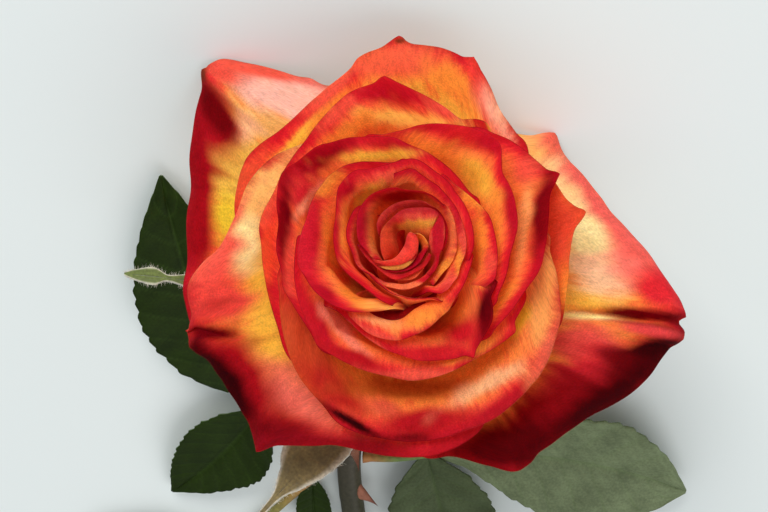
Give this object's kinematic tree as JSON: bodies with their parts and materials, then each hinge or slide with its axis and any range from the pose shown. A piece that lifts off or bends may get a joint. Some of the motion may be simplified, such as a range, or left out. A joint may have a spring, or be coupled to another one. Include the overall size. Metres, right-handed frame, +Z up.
{
  "type": "cut rose",
  "caption": "Cut rose lying down: a wide bloom of swirled red and yellow petals on a curved stem with prickles, sepals and serrated compound leaves.",
  "frame": {"origin": "centre of the bounding box's bottom face, on the surface the rose lies on", "axes": "+Y along the stem to its cut end, -Y the way the bloom faces, +Z up from the surface, +X to the bloom's left as seen from in front of it with the stem below"},
  "size_m": [0.1852, 0.2946, 0.0726],
  "materials": {
    "petals": "matte, crimson at the margins through coral to golden yellow at the claws",
    "stem": "smooth purplish brown bark turning green, with lighter prickles",
    "sepals": "matte olive grey with woolly margins",
    "leaves": "dark green, slightly glossy"
  },
  "bodies": {
    "root": {"heart": "petals", "leaf_left": "leaves", "leaf_lower_left": "leaves", "leaf_lower_right": "leaves", "leaf_right": "leaves", "petal_crest": "petals", "petal_cup_left": "petals", "petal_cup_right": "petals", "petal_fold_bottom": "petals", "petal_fold_right": "petals", "petal_front": "petals", "petal_lower_left": "petals", "petal_right": "petals", "petal_ring_bottom": "petals", "petal_ring_left": "petals", "petal_ring_top": "petals", "petal_small_right": "petals", "petal_swirl_bottom": "petals", "petal_swirl_left": "petals", "petal_swirl_right": "petals", "petal_top": "petals", "petal_upper_left": "petals", "petal_wing_right": "petals", "sepal_back_right": "sepals", "sepal_left": "sepals", "sepal_lower": "sepals", "sepal_right": "sepals", "sepal_under": "sepals", "stem": "stem"}
  },
  "joints": []
}
